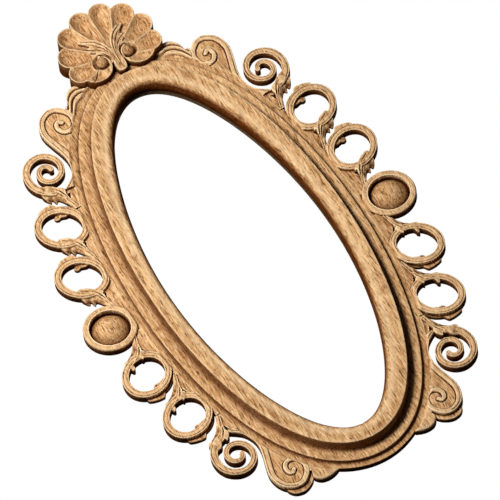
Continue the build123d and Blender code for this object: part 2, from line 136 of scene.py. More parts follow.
def within(points, line):
    """Signed distance to a closed line, positive inside."""
    ring = np.array(line, float)
    if not np.allclose(ring[0], ring[-1]):
        ring = np.vstack([ring, ring[0]])
    inside = np.zeros(len(points), bool)
    x, y = points.T
    for (x0, y0), (x1, y1) in zip(ring[:-1], ring[1:]):
        if y0 != y1:
            inside ^= ((y0 > y) != (y1 > y)) & (x < (x1 - x0) * (y - y0) / (y1 - y0) + x0)
    distance = nearest(points, ring)[0]
    return np.where(inside, distance, -distance)


def lifted(points, spots, reach=4.0, power=1.6):
    """Height that eases between spots (u, v, h)."""
    total = np.zeros(len(points))
    weight = np.zeros(len(points))
    for u, v, h in spots:
        w = 1 / ((points[:, 0] - u) ** 2 + (points[:, 1] - v) ** 2 + reach) ** power
        total += w * h
        weight += w
    return total / weight


def joined(parts):
    """Union of forms, each (signed distance, height)."""
    distances = [d for d, _ in parts]
    height = np.max([np.where(d > 0, h, -np.inf) for d, h in parts], axis=0)
    edge = np.choose(np.argmax(distances, axis=0), [h for _, h in parts])
    return np.max(distances, axis=0), np.where(np.isfinite(height), height, edge)


def cut_lines(height, points, cuts):
    """Height with grooves along lines: each cut is (line, half width, depth)."""
    for line, half, depth in cuts:
        height = height - groove(nearest(points, curve(line))[0], half, depth)
    return height


# Places on the moulding
def edge_point(angle, inset):
    a = math.radians(angle)
    normal = np.array([SIGHT[1] * math.cos(a), SIGHT[0] * math.sin(a)])
    normal /= np.linalg.norm(normal)
    return np.array([SIGHT[0] * math.cos(a), SIGHT[1] * math.sin(a)]) + inset * normal


OUTER_EDGE = np.array([edge_point(a, MOULDING) for a in np.linspace(-95, 95, 381)])


def outside_moulding(points):
    """Signed distance to the moulding's outer edge, positive outside."""
    return -nearest(points, OUTER_EDGE)[1]


# Meshes
def new_object(name, data):
    obj = bpy.data.objects.new(name, data)
    bpy.context.scene.collection.objects.link(obj)
    return obj


def mesh_object(name, vertices, faces, material, shade_and_highlight=None):
    mesh = bpy.data.meshes.new(name)
    mesh.from_pydata([tuple(v) for v in vertices], [], faces)
    mesh.validate()
    mesh.update()
    mesh.shade_smooth()
    mesh.set_sharp_from_angle(angle=math.radians(38))
    # Painted shade and highlight, stored on each point for the wood material.
    if shade_and_highlight is not None:
        mesh.attributes.new("shade_and_highlight", "FLOAT", "POINT").data.foreach_set("value", np.array(shade_and_highlight, "f"))
    mesh.materials.append(material)
    return new_object(name, mesh)


def merged(parts):
    """Vertices and faces of several parts as one."""
    vertices = []
    faces = []
    for points, polygons in parts:
        faces += [[i + len(vertices) for i in face] for face in polygons]
        vertices += points.tolist()
    return np.array(vertices), faces


# Polygons of a cell by which of its corners lie inside: 0 to 3 are its corners,
# 4 to 7 the outline's crossings of its sides.
CASES = {
    1: [(0, 4, 7)], 2: [(1, 5, 4)], 3: [(0, 1, 5, 7)], 4: [(2, 6, 5)], 5: [(0, 4, 7), (2, 6, 5)],
    6: [(1, 2, 6, 4)], 7: [(0, 1, 2, 6, 7)], 8: [(3, 7, 6)], 9: [(0, 4, 6, 3)],
    10: [(1, 5, 4), (3, 7, 6)], 11: [(0, 1, 5, 6, 3)], 12: [(2, 3, 7, 5)], 13: [(0, 4, 5, 2, 3)],
    14: [(1, 2, 3, 7, 4)], 15: [(0, 1, 2, 3)],
}


def softened(field, spread, step):
    """Grid of heights blurred by a bell of this spread."""
    reach = int(math.ceil(2.2 * spread / step))
    for axis in (0, 1):
        total = np.zeros_like(field)
        weight = 0.0
        for k in range(-reach, reach + 1):
            share = math.exp(-((k * step / spread) ** 2) / 2)
            total += share * np.roll(field, k, axis)
            weight += share
        field = total / weight
    return field


def relief_shade(level, step, weights):
    """Painted shade and highlight from how far a spot lies below its surroundings: from -1 (painted highlight
    on a raised edge) to 1 (painted shade in a recess), with low parts shaded too.
    """
    near = softened(level, 1.2, step) - level
    far = softened(level, 4.0, step) - level
    # Painted shade on the low parts of the relief.
    low = np.clip((8.0 - level) / 5.0, 0, 1)
    return np.clip(weights[0] * near + weights[1] * far + 0.55 * low, -1, 1)


def crossed(field, grid, axis):
    """Where the outline crosses the grid's sides along one axis: side numbers and spots."""
    index = np.arange(field.size).reshape(field.shape)
    first = np.s_[:, :-1] if axis else np.s_[:-1]
    second = np.s_[:, 1:] if axis else np.s_[1:]
    sides = np.nonzero((field[first] > 0) != (field[second] > 0))
    before = field[first][sides]
    after = field[second][sides]
    share = (before / (before - after))[:, None]
    start = index[first][sides]
    end = index[second][sides]
    return start + (axis + 1) * field.size, grid[start] * (1 - share) + grid[end] * share


def carved_faces(field, new):
    """Faces of the carved side and steps of its outline, new giving each point's number."""
    index = np.arange(field.size).reshape(field.shape)
    across = index + field.size
    along = across + field.size
    c = (field > 0).astype(int)
    case_of = c[:-1, :-1] + 2 * c[1:, :-1] + 4 * c[1:, 1:] + 8 * c[:-1, 1:]
    codes = [index[:-1, :-1], index[1:, :-1], index[1:, 1:], index[:-1, 1:]]
    codes += [across[:-1, :-1], along[1:, :-1], across[:-1, 1:], along[:-1, :-1]]
    faces = []
    rim = []
    for case, polygons in CASES.items():
        cells = np.nonzero(case_of == case)
        for polygon in polygons:
            corners = [new[codes[k][cells]].tolist() for k in polygon]
            faces += [list(face) for face in zip(*corners)]
            for k, code in enumerate(polygon):
                following = (k + 1) % len(polygon)
                if code >= 4 and polygon[following] >= 4:
                    rim += zip(corners[k], corners[following])
    return faces, rim


SKIRT_DEPTH = 0.9


def relief_data(form, box, step=GRID, back=None, weights=(0.7, 0.12)):
    """Closed mesh of a carved piece: form gives signed distance and height at points."""
    (u0, v0), (u1, v1) = box
    u = u0 + step * np.arange(int((u1 - u0) / step) + 2)
    v = v0 + step * np.arange(int((v1 - v0) / step) + 2)
    grid = np.stack(np.meshgrid(u, v, indexing="ij"), -1).reshape(-1, 2)
    inside, height = form(grid)
    field = inside.reshape(len(u), len(v)).copy()
    for border in (field[0], field[-1], field[:, 0], field[:, -1]):
        np.minimum(border, -0.01, out=border)
    field[np.abs(field) < 1e-4] = 1e-4
    level = height.reshape(field.shape)
    # Painted shade in hollows and on low parts, painted highlight on ridges.
    shade_and_highlight = relief_shade(np.where(field > 0, level, level - 0.8), step, weights).reshape(-1)
    sides, spots = (np.concatenate(pair) for pair in zip(*(crossed(field, grid, axis) for axis in (0, 1))))
    used = np.nonzero(field.reshape(-1) > 0)[0]
    flat = np.vstack([grid[used], spots])
    points = np.column_stack([flat, np.concatenate([height[used], form(spots)[1]])])
    first = len(used)
    count = len(points)
    new = np.zeros(3 * field.size, int)
    new[used] = np.arange(first)
    new[sides] = np.arange(first, count)
    under = points.copy()
    under[:, 2] = 0.0 if back is None else back(flat)
    skirt = points[first:].copy()
    skirt[:, 2] = np.maximum(skirt[:, 2] - SKIRT_DEPTH, (skirt[:, 2] + under[first:, 2]) / 2)
    top, rim = carved_faces(field, new)
    faces = top + [[i + count for i in reversed(face)] for face in top]
    hung = 2 * count - first
    faces += [(b, a, a + hung, b + hung) for a, b in rim]
    faces += [(b + hung, a + hung, a + count, b + count) for a, b in rim]
    # Painted highlight along the carved outline; painted shade down the side walls, from 0.5 below the edge
    # to 0.9 at the back.
    edge_highlight = 0.5 * shade_and_highlight[sides % field.size] - 0.14
    shades = [shade_and_highlight[used], edge_highlight, np.full(count, 0.9), np.full(len(skirt), 0.5)]
    return np.vstack([points, under, skirt]), faces, np.concatenate(shades)


def stood(vertices, faces, side, end):
    """Board points to the row frame, mirrored to the other side or end if asked."""
    v = np.array(vertices, float)
    if side * end < 0:
        faces = [list(reversed(face)) for face in faces]
    return np.stack([v[:, 0] * side, -v[:, 2], v[:, 1] * end], 1) / 1000, faces


def carved(node, data, material, side=1, end=1):
    """Piece in place of a node: data is vertices, faces and, where it has one, the painted shade and
    highlight.
    """
    vertices, faces = stood(*data[:2], side, end)
    obj = mesh_object(node + "_fine", vertices, faces, material, *data[2:])
    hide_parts(node)
    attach(obj, "frame_body")


# Materials
BLACK = (0, 0, 0)
WHITE = (1, 1, 1)
# Colour of painted highlights on edges and ridges, also standing for rubbed wear.
HIGHLIGHT_AND_WEAR = (1.0, 0.74, 0.44)


class Net:
    """Short way to write the node tree of a material or world."""

    def __init__(self, owner):
        owner.use_nodes = True
        self.owner = owner
        self.tree = owner.node_tree
        self.tree.nodes.clear()

    def node(self, kind, inputs=None, **settings):
        n = self.tree.nodes.new(kind)
        for key, value in settings.items():
            setattr(n, key, value)
        for key, value in (inputs or {}).items():
            if isinstance(value, bpy.types.NodeSocket):
                self.tree.links.new(value, n.inputs[key])
            else:
                n.inputs[key].default_value = value
        return n

    def math(self, operation, *values, clamp=False):
        inputs = dict(enumerate(values))
        return self.node("ShaderNodeMath", inputs, operation=operation, use_clamp=clamp).outputs[0]

    def times(self, value, factor):
        return self.math("MULTIPLY", value, factor)

    def ramp(self, factor, stops):
        n = self.node("ShaderNodeValToRGB", {0: factor})
        elements = n.color_ramp.elements
        while len(elements) < len(stops):
            elements.new(0.5)
        for element, (place, colour) in zip(elements, stops):
            element.position = place
            element.color = (*colour, 1)
        return n.outputs[0]

    def place(self):
        return self.node("ShaderNodeTexCoord").outputs["Object"]

    def noise(self, vector, scale, move=(0, 0, 0), detail=4.0, roughness=0.6):
        inputs = {"Vector": vector, "Scale": scale, "Location": move}
        scaled = self.node("ShaderNodeMapping", inputs).outputs[0]
        inputs = {"Vector": scaled, "Scale": 1.0, "Detail": detail, "Roughness": roughness}
        return self.node("ShaderNodeTexNoise", inputs).outputs["Fac"]

    def bump(self, height, strength, distance):
        inputs = {"Strength": strength, "Distance": distance, "Height": height}
        return self.node("ShaderNodeBump", inputs).outputs[0]

    def mix(self, factor, first, second, blend="MIX"):
        inputs = {0: factor, 6: first, 7: (*second, 1) if isinstance(second, tuple) else second}
        return self.node("ShaderNodeMix", inputs, data_type="RGBA", blend_type=blend).outputs[2]

    def either(self, lit, shown):
        """One shader for light, the other for what the camera sees, also by gloss or glass."""
        path = self.node("ShaderNodeLightPath").outputs
        other = self.math("MAXIMUM", path["Is Glossy Ray"], path["Is Transmission Ray"])
        seen = self.math("MAXIMUM", path["Is Camera Ray"], other)
        return self.node("ShaderNodeMixShader", {0: seen, 1: lit, 2: shown}).outputs[0]

    def finish(self, shader, kind="ShaderNodeOutputMaterial"):
        self.tree.links.new(shader, self.node(kind).inputs["Surface"])
        return self.owner


def wood(name, dark, base, pale, shade_colour, streak=(1.0, 0.75, 0.46), roughness=0.32):
    """Wood with its grain along Z, dark pores and pale streaks, with painted shade in recesses and by ambient
    occlusion, and painted highlights on edges.
    """
    net = Net(bpy.data.materials.new(name))
    coordinate = net.place()
    bend = net.noise(coordinate, (14, 14, 7), detail=3.0)
    shift = net.node("ShaderNodeCombineXYZ", {0: net.times(bend, 0.016), 1: 0.0, 2: 0.0}).outputs[0]
    place = net.node("ShaderNodeVectorMath", {0: coordinate, 1: shift}, operation="ADD").outputs[0]
    broad = net.noise(place, (80, 80, 7), roughness=0.55)
    middle = net.noise(place, (330, 330, 20), (3, 1, 7), roughness=0.7)
    fine = net.noise(place, (600, 600, 80), (5, 9, 2), 3.0, 0.7)
    tone = net.math("ADD", net.times(broad, 0.3), net.times(middle, 0.7))
    colour = net.ramp(tone, [(0.38, dark), (0.49, base), (0.62, pale)])
    pores = net.ramp(fine, [(0.38, WHITE), (0.455, BLACK)])
    colour = net.mix(net.times(pores, 0.85), colour, tuple(0.3 * c for c in dark))
    light = net.ramp(fine, [(0.54, BLACK), (0.63, WHITE)])
    colour = net.mix(net.times(light, 0.62), colour, streak)
    # Painted shade and highlight from the mesh attribute, varied by the grain: positive values darken towards
    # the shade colour.
    shade_and_highlight = net.node("ShaderNodeAttribute", attribute_name="shade_and_highlight").outputs["Fac"]
    shade_and_highlight = net.math("ADD", shade_and_highlight, net.times(net.math("SUBTRACT", middle, 0.5), 0.35))
    colour = net.mix(1.0, colour, net.ramp(shade_and_highlight, [(0.02, WHITE), (0.7, shade_colour)]), "MULTIPLY")
    # Painted highlight, also standing for rubbed wear, where the value is negative.
    rubbed_sheen = net.math("MULTIPLY", net.math("SUBTRACT", 0.0, shade_and_highlight), 1.1, clamp=True)
    colour = net.mix(rubbed_sheen, colour, HIGHLIGHT_AND_WEAR)
    # Painted shade: ambient occlusion darkens the colour in creases and recesses.
    near = net.node("ShaderNodeAmbientOcclusion", {"Distance": 0.006}, samples=6).outputs["AO"]
    colour = net.mix(1.0, colour, net.ramp(near, [(0.15, shade_colour), (0.72, WHITE)]), "MULTIPLY")
    bump = net.bump(net.math("ADD", net.times(middle, 0.5), net.times(fine, 0.5)), 0.7, 0.0019)
    rough = net.math("ADD", net.times(fine, 0.2), roughness - 0.1)
    inputs = {"Base Color": colour, "Roughness": rough, "Normal": bump, "Specular IOR Level": 0.0}
    return net.finish(net.node("ShaderNodeBsdfPrincipled", inputs).outputs[0])


def brass(name):
    """Lacquered brass with clouds of tarnish and fine scratches along X."""
    net = Net(bpy.data.materials.new(name))
    coordinate = net.place()
    cloud = net.noise(coordinate, (160, 160, 160), detail=5.0)
    scratch = net.noise(coordinate, (300, 2600, 2600), detail=3.0)
    stops = [(0.3, (0.30, 0.19, 0.07)), (0.55, (0.62, 0.43, 0.17)), (0.8, (0.74, 0.54, 0.25))]
    rough = net.math("ADD", net.times(cloud, 0.3), 0.2)
    bump = net.bump(scratch, 0.2, 0.0002)
    inputs = {"Base Color": net.ramp(cloud, stops), "Metallic": 1.0, "Roughness": rough, "Normal": bump}
    return net.finish(net.node("ShaderNodeBsdfPrincipled", inputs).outputs[0])


def glass(name):
    """Clear pane with a trace of gloss."""
    net = Net(bpy.data.materials.new(name))
    bump = net.bump(net.noise(net.place(), (12, 12, 12), detail=2.0), 0.02, 0.001)
    clear = net.node("ShaderNodeBsdfTransparent", {"Color": (1, 1, 1, 1)}).outputs[0]
    inputs = {"Color": (1, 1, 1, 1), "Roughness": 0.02, "Normal": bump}
    gloss = net.node("ShaderNodeBsdfGlossy", inputs).outputs[0]
    return net.finish(net.node("ShaderNodeMixShader", {0: 0.012, 1: clear, 2: gloss}).outputs[0])


WOOD = wood(
    "carved_wood",
    dark=(0.38, 0.168, 0.056),
    base=(0.62, 0.325, 0.13),
    pale=(0.86, 0.54, 0.26),
    shade_colour=(0.19, 0.088, 0.036),
)
SLIP = wood(
    "slip_wood",
    dark=(0.09, 0.045, 0.02),
    base=(0.15, 0.08, 0.035),
    pale=(0.2, 0.11, 0.05),
    shade_colour=(0.20, 0.10, 0.045),
    streak=(0.2, 0.11, 0.05),
)
PLAIN = wood(
    "plain_wood",
    dark=(0.45, 0.27, 0.12),
    base=(0.66, 0.46, 0.26),
    pale=(0.80, 0.62, 0.40),
    shade_colour=(0.5, 0.4, 0.3),
    roughness=0.6,
)
BRASS = brass("brass")
GLASS = glass("clear_glass")


# Moulding
def bent(points, steps=4):
    """Closed section with its corners rounded: each point is (w, h, radius)."""
    out = []
    for i, (x, y, radius) in enumerate(points):
        p = np.array([x, y])
        if not radius:
            out.append(p)
            continue
        a = np.array(points[i - 1][:2]) - p
        b = np.array(points[(i + 1) % len(points)][:2]) - p
        la, lb = np.linalg.norm(a), np.linalg.norm(b)
        a, b = a / la, b / lb
        reach = min(radius, la * 0.48, lb * 0.48)
        for k in range(steps + 1):
            t = k / steps
            out.append(p + a * reach * (1 - t) ** 2 + b * reach * t**2)
    return out


def subdivided(points, longest):
    out = []
    for a, b in zip(points, points[1:] + points[:1]):
        count = max(1, int(math.ceil(np.linalg.norm(b - a) / longest)))
        out += [a + (b - a) * k / count for k in range(count)]
    return out


def moulding_section():
    """Section through the moulding: w from the sight edge outwards, h up."""
    roll_top = CROWN - CROWN_RISE
    roll = []
    for k in range(1, 10):
        a = math.pi / 2 * k / 9
        roll.append((ROLL * (1 - math.cos(a)), WALL_FRONT + (roll_top - WALL_FRONT) * math.sin(a), 0))
    middle = [(0.3, 15.0), (0.9, 12.6), (2.4, 11.8), (5.0, 12.0), (10.0, 13.0), (14.0, 13.4)]
    outer = [(0.3, 8.8), (1.2, 8.0), (3.5, 8.1)]
    band_two = INNER_BAND + MIDDLE_BAND
    corners = [
        (MOULDING, 0, 0.5),
        (REBATE[0], 0, 0.3),
        (REBATE[0], REBATE[1], 0),
        (0, REBATE[1], 0.4),
        (0, WALL_FRONT, 0),
        *roll,
        (14.0, roll_top + 0.75, 0),
        (18.0, CROWN - 0.1, 0),
        (INNER_BAND, CROWN, 1.1),
        *((INNER_BAND + w, h, 0) for w, h in middle),
        (band_two, 13.2, 1.2),
        *((band_two + w, h, 0) for w, h in outer),
        (MOULDING, OUTER_LEVEL, 0.4),
    ]
    return subdivided(bent(corners), 2.2)


# Painted shade and highlight by the distance w from the sight edge: shade on the sight wall and below the
# steps, highlight on the roll and the band edges
SECTION_SHADE = [
    (-6, 0.9), (0.8, 0.85), (2, 0.6), (4, 0.2), (6, -0.12), (8.5, -0.42), (12, -0.18),
    (16, 0), (20, 0), (22.6, -0.25), (23.6, -0.25), (23.9, 0.5), (25.2, 0.62), (27, 0.4),
    (29.5, 0.16), (33, 0.03), (37, 0), (39.8, -0.12), (40.9, -0.15), (41.1, 0.6), (42.4, 0.55),
    (44, 0.28), (46.5, 0.1), (49.5, 0.08),
]


def sight_inset(angle):
    """How far the sight edge lies inside a true ellipse: the oval is a little pointed."""
    a = math.radians(angle)
    foot = max(0.0, -math.sin(a)) ** 4
    return 0.5 * math.cos(a) ** 4 + 2.9 * math.sin(a) ** 4 + 3.7 * math.sin(2 * a) ** 2 + 2.0 * foot


def section_shade(w, h):
    # Painted shade on the outer wall, the back and the rebate; elsewhere the section's painted shade and
    # highlight.
    if h < OUTER_LEVEL - 1.5 or (w < REBATE[0] + 1 and h < REBATE[1] - 0.1):
        return 0.85
    return float(np.interp(w, *zip(*SECTION_SHADE)))


def moulding_point(angle, w, h):
    """Point of the section at an angle, with the sight edge moved in and slight ripples."""
    a = math.radians(angle)
    if h > REBATE[1] - 0.1:
        fixed = REBATE[0] if h < REBATE[1] + 0.1 else INNER_BAND
        w -= sight_inset(angle) * (1 - min(w / fixed, 1))
    u, v = edge_point(angle, w)
    drop = 0.0
    if h > REBATE[1] - 4 and w < MOULDING:
        ripple = 0.16 * math.sin(a * 23 + w * 0.31) * math.sin(a * 7 + 1.3)
        joint_crease = 1.2 * math.exp(-(u**2)) * (w < INNER_BAND + 1)
        drop = ripple + joint_crease
    return max(u, 0.02), v, h - drop


def moulding_data():
    """Right half, from the bottom joint to the top one."""
    section = moulding_section()
    count = len(section)
    angles = np.linspace(-90, 90, 421)
    vertices = [moulding_point(angle, w, h) for angle in angles for w, h in section]
    shade_and_highlight = [section_shade(w, h) for w, h in section] * len(angles)
    last = (len(angles) - 1) * count
    faces = []
    for a in range(0, last, count):
        b = a + count
        for j in range(count):
            k = (j + 1) % count
            faces.append((a + j, b + j, b + k, a + k))
    faces.append(list(range(count)))
    faces.append(list(reversed(range(last, last + count))))
    return np.array(vertices), faces, shade_and_highlight


def slip_data():
    """Oval slip behind the pane, in line with the sight edge."""
    outer, top = 6.7, 8.8
    vertices = []
    for angle in range(360):
        inner = 1.0 - sight_inset(angle)
        front = [(inner, 0.1), (inner, top - 0.4), (inner + 0.4, top)]
        section = front + [(outer, top), (outer, 0.0), (inner + 0.3, 0.0)]
        vertices += [(*edge_point(angle, w), h) for w, h in section]
    count = len(section)
    total = len(vertices)
    faces = []
    for s in range(0, total, count):
        for j in range(count):
            k = (j + 1) % count
            faces.append((s + j, s + k, (s + count + k) % total, (s + count + j) % total))
    return np.array(vertices), faces


# Ornaments, drawn for the upper right
RING_CENTRES = [edge_point(15.1, MOULDING + 31.7), edge_point(30.0, MOULDING + 29.9)]
VOLUTE_CENTRE = edge_point(47.1, MOULDING + 31.5)
SCROLL_CENTRE = edge_point(63.4, MOULDING + 15.5)
CABOCHON_CENTRE = edge_point(0, MOULDING + 34.7)
HUB = np.array([0.0, SIGHT[1] + MOULDING + 6.7])

HUSK_FOOT = [(-17, -71), (-15.4, -60), (-13, -50), (-11.4, -41), (-13, -33)]
HUSK = HUSK_FOOT + [
    (-9, -28.5), (-4.5, -26), (-1, -22.5), (3, -19.5), (8, -16.8), (11.5, -14.2), (14.8, -15.4),
    (16, -20), (16.5, -25), (15.5, -31), (10.2, -38.5), (7, -35.5), (4.4, -42.5), (0.8, -40),
    (-4, -46), (-7, -53), (-9.5, -61), (-13, -71),
]
LOW_HUSK = HUSK_FOOT + [
    (-10, -26.5), (-6, -22.8), (-4.2, -25.6), (0, -26.6), (5, -24.4), (8.4, -20.6), (8.8, -16.6),
    (11.6, -14.4), (13.8, -17.6), (16, -22), (17.5, -27), (16, -32), (11, -36), (5, -40.5), (-1, -46),
    (-6.5, -54), (-9.5, -61), (-13, -71),
]
HUSK_SPOTS = [
    (-15, -70, 9.5), (-12.5, -56, 10.6), (-9.5, -42, 12.2), (-5, -33, 13.2), (1, -26, 13.6), (8, -20, 13),
    (13.5, -17, 10), (15, -26, 9.5), (10, -37, 3), (4, -41, 3), (3, -34, 9), (-3.5, -45, 5),
    (-8, -58, 6.5), (10, -30, 9.5),
]
HUSK_VEINS = [
    ([(-14.8, -66), (-11.6, -50), (-8, -38), (-2, -29), (5, -23.5), (10, -20)], 1, 1.5),
    ([(-12.6, -58), (-8, -44), (-2.5, -35), (4, -29.5), (10, -26.5)], 0.9, 1.4),
    ([(-10.5, -44), (-6.5, -34), (-2.5, -27.5), (2, -23)], 0.8, 1),
]
NUB = [
    (-19, 15), (-14, 20), (-9, 24.5), (-3, 25.5), (-1, 22), (1.5, 20), (1, 16.5), (-2.5, 14.5),
    (-7, 15.5), (-13, 13.5),
]
NUB_SPOTS = [(-16, 15, 8.5), (-9, 19, 8), (-3, 21, 7), (0, 18, 5), (-8, 24, 9)]
KNOB = [(7, -33), (8, -24), (12, -18.5), (17.5, -18), (20, -23), (18, -30), (12, -34)]
KNOB_SPOTS = [(13, -25, 14), (17, -21, 10.5), (9, -30, 12.5)]
RING_WEB = [(-52, -71), (-14, -71), (-10.5, -33), (-29.7, -6.6), (-29.7, 15.9), (-52, 15.9)]
RING_PIT = [(-15, -34.5), (-10.9, -35.8), (-12.6, -40.5)]
VOLUTE_WEB = [(-58, -67), (-8, -67), (-3, -36), (-58, -39.6)]
VOLUTE_PIT = [(-10.5, -41), (-5.5, -42), (-7.5, -48)]
CABOCHON_SEAT = [(-62.4, -18), (-6, -18), (-6, 18), (-62.4, 18)]
WEB_LEVEL = 7.4


def leaf(points, outline, spots, veins=(), edge=1.3):
    inside = within(points, curve(outline, closed=True, per=5))
    height = lifted(points, spots, 14.0, 1.9) - arris(inside, edge)
    return inside, cut_lines(height, points, veins)


def band_section(inner, width, top=ORNAMENT):
    """Height across a carved band, inner being the distance from its outer edge."""
    middle = (inner - width / 2) / (width / 2)
    height = top - 0.5 * middle**2
    height -= groove(np.abs(inner - 2.0), 1.0, 1.2)
    height -= groove(np.abs(inner - width + 2.1), 0.9, 0.8)
    height -= arris(np.minimum(inner, width - inner), 0.9)
    return height


def web(points, outline, level=WEB_LEVEL):
    """Flat ground between an ornament and the moulding."""
    return within(points, outline), level + 0.15 * waver(points, 9, 5)


def pitted(height, points, corners):
    """Height with a deep pit between three corners."""
    pit = within(points, corners)
    return np.where(pit > -0.4, np.minimum(height, 4.0 + np.clip(-pit * 5, 0, 9)), height)


def oval_gap(points, centre, halves):
    """Distance outwards from an oval that leans outwards at 45 degrees."""
    rel = points - centre
    along = (rel[:, 0] + rel[:, 1]) / math.sqrt(2)
    across = (rel[:, 0] - rel[:, 1]) / math.sqrt(2)
    size = np.hypot(along / halves[0], across / halves[1]) + 1e-6
    slope = np.hypot(along / halves[0] ** 2, across / halves[1] ** 2) / size
    return (size - 1) / (slope + 1e-9)


def ring_form(husk_shape, curl_level):
    """Open ring with a curl on top, a nub inside and a husk down its foot."""

    def form(points):
        x, y = points.T
        r = np.hypot(x, y / 1.03)
        inner = -oval_gap(points, (1.0, -0.6), (35.2, 30.9))
        hole_gap = oval_gap(points, (0.7, -0.8), (26.1, 22.1))
        band = np.minimum(inner, hole_gap), band_section(inner, np.maximum(inner + hole_gap, 4.0))
        angle = np.degrees(np.arctan2(y, x))
        curl_edge = 37.0 - r - 5.5 * smooth(14, 26, np.abs(angle - 80))
        curl = np.minimum(curl_edge, r - 30), curl_level - arris(curl_edge, 1.2)
        husk = leaf(points, husk_shape, HUSK_SPOTS, HUSK_VEINS)
        nub = leaf(points, NUB, NUB_SPOTS, edge=1.4)
        ground, ground_level = web(points, RING_WEB)
        ground = np.minimum(ground, r - 30), ground_level
        inside, height = joined([band, curl, husk, nub, ground])
        return inside, pitted(height, points, RING_PIT) + 0.12 * waver(points, 11, 3)

    return form


SPIRAL = [
    (-78, 37.5), (-40, 34.2), (0, 31.6), (45, 31.2), (90, 30.2), (135, 26.6), (180, 23.2), (225, 21.4),
    (270, 20.2), (315, 17.6), (360, 14.9), (405, 13.6), (450, 12.5), (495, 11), (532, 9.8),
]


def spiral_edge():
    angle, reach = curve(SPIRAL, per=16).T
    angle = np.radians(angle)
    return np.stack([reach * np.cos(angle), reach * np.sin(angle)], 1)


def band_along(points, edge, start, end):
    """Band on the left of its outer edge, narrowing evenly from one width to the other."""
    way = np.gradient(edge, axis=0)
    way /= np.linalg.norm(way, axis=1)[:, None]
    left = np.stack([-way[:, 1], way[:, 0]], 1)
    size = np.concatenate([[0], np.cumsum(np.linalg.norm(np.diff(edge, axis=0), axis=1))])
    size /= size[-1]
    width = start + (end - start) * size
    middle = edge + left * width[:, None] / 2
    gap, signed, share = nearest(points, middle)
    here = start + (end - start) * share
    inner = here / 2 + signed
    inside = np.minimum(inner, here - inner)
    return np.minimum(inside, here / 2 - gap + 0.001), inner, here, share


def volute_form(husk_shape):
    """Open spiral with a knob on its foot and a husk below it."""

    def form(points):
        inside, inner, width, _ = band_along(points, spiral_edge(), 10.4, 6.4)
        band = inside, band_section(inner, width)
        husk = leaf(points - (6.0, -2.0), husk_shape, HUSK_SPOTS, HUSK_VEINS)
        knob = leaf(points, KNOB, KNOB_SPOTS, edge=2.0)
        inside, height = joined([band, husk, knob, web(points, VOLUTE_WEB)])
        return inside, pitted(height, points, VOLUTE_PIT) + 0.12 * waver(points, 11, 4)

    return form


SCROLL = [
    (46.9, -95), (36, -87.9), (27.1, -79.9), (21.5, -69), (19.5, -56.9), (20.9, -44), (25.1, -28),
    (28.6, -13.9), (29.5, -4.1), (27.4, 7.1), (22.1, 17.1), (13.9, 23.6), (5, 26.5), (-4.1, 25.1),
    (-10.9, 20.1), (-17.1, 12.4), (-20.1, 3), (-18.9, -7.1), (-13.3, -15.6), (-4.1, -18.9), (4.7, -15.9),
    (9.7, -7.1), (8, 2.4), (1.5, 5.9), (-3.5, 1.8),
]
SCROLL_STEPS = 10  # steps between two points of the scroll
SCROLL_PLATE = [(-20.6, -8.9), (-36.9, -22.1), (7.1, -109.2), (36.9, -103.8)]
FOOT_LEDGE = [
    (-19.5, 12.4), (-15.9, 23.6), (-6.5, 31), (3, 33.6), (13, 30.7), (18.9, 23), (20.1, 12.4),
]


def scroll_form(points, foot=False):
    """Closed scroll with a band rolled in on a plate, at the foot with a ledge behind."""
    edge = curve(SCROLL, per=SCROLL_STEPS)
    inside, inner, width, share = band_along(points, edge, 9.6, 5.4)
    height = 12.2 - 0.4 * ((inner - width / 2) / (width / 2)) ** 2
    height -= groove(np.abs(inner - 2.4), 0.9, 1.3) * (share < 0.62)
    height -= arris(np.minimum(inner, width - inner), 1.5)
    band = inside, height
    body = within(points, np.vstack([edge[: 17 * SCROLL_STEPS], SCROLL_PLATE]))
    level = 10.5 + 0.2 * waver(points, 16, 8)
    level -= 0.7 * smooth(-40, -14, points[:, 1])
    level -= groove(nearest(points, edge[6 * SCROLL_STEPS :])[0], 1.3, 1.8) * (body > 3)
    past = np.maximum(-inside, 0)
    level -= 1.5 * np.exp(-((past / 1.1) ** 2)) * smooth(-60, -20, points[:, 1])
    plate = body, level - arris(body, 1.2)
    parts = [band, plate]
    if foot:
        ledge = within(points, curve(FOOT_LEDGE))
        parts.append((ledge, WEB_LEVEL - arris(ledge, 1.0)))
    inside, height = joined(parts)
    return inside, height + 0.1 * waver(points, 12, 6)


CABOCHON_RADIUS = 34.4
CABOCHON_RIM = 8.0
DOME_RADIUS = 23.6
DOME_RISE = 12.5
SEAT_RADIUS = 23.3
SEAT_GROOVE = 26.3


def cabochon_form(points):
    """Rim round the dome's seat, with a short neck to the moulding."""
    r = np.hypot(points[:, 0], points[:, 1])
    inner = CABOCHON_RADIUS - r
    rim_height = 12.0 - arris(inner, 2.6) - arris(CABOCHON_RIM - inner, 1.0)
    rim_height -= groove(np.abs(inner - 6.0), 0.6, 0.6)
    rim_height -= groove(np.abs(inner - 3.0), 0.5, 0.25)
    rim = inner, np.where(inner < CABOCHON_RIM, rim_height, 5.0)
    neck, neck_level = web(points, CABOCHON_SEAT, 6.5)
    inside, height = joined([rim, (np.minimum(neck, r - 30), neck_level)])
    seat = np.where(r < SEAT_RADIUS, 5.0, 2.4)
    return inside, np.where(r < SEAT_GROOVE, seat, height + 0.08 * waver(points, 11, 12))


def dome_form(points):
    r = np.hypot(points[:, 0], points[:, 1])
    ball_radius = (DOME_RADIUS**2 + DOME_RISE**2) / (2 * DOME_RISE)
    height = 4.4 + DOME_RISE - ball_radius + np.sqrt(np.maximum(ball_radius**2 - r**2, 0))
    return DOME_RADIUS - r, height + 0.15 * waver(points, 13, 21)


